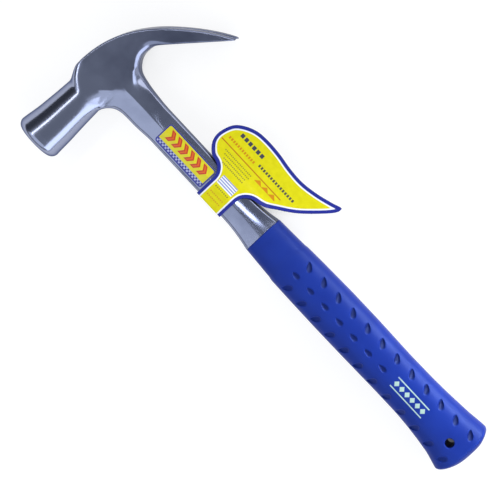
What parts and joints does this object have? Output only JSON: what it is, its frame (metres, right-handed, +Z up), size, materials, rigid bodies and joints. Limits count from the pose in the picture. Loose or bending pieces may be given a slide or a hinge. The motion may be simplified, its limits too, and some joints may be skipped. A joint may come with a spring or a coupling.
{
  "type": "claw hammer",
  "caption": "One-piece forged steel claw hammer with a moulded blue grip, a lanyard hole in the butt, a neck label and a folded card hang tag.",
  "frame": {"origin": "middle of the hammer's underside as it lies on its side, at the height of the bench", "axes": "+X along the handle from the head to the butt, +Y towards the claw, +Z up across the hammer's thickness, on the label's side"},
  "size_m": [0.339, 0.1346, 0.0304],
  "materials": {
    "steel": "forged, ground and polished, clear lacquer",
    "grip_vinyl": "moulded vinyl, satin",
    "label_film": "printed film",
    "tag_card": "printed card, coated",
    "glue": "dry adhesive"
  },
  "bodies": {
    "hammer": {"forged_head_neck_tang": "steel", "grip": "grip_vinyl", "neck_label": "label_film"},
    "tag": {"tag_card": "tag_card", "tag_glue": "glue"}
  },
  "joints": [
    {"name": "tag_slide", "type": "slide", "parent": "hammer", "child": "tag", "axis": [1, 0, 0], "range_m": [-0.045, 0.003]}
  ]
}
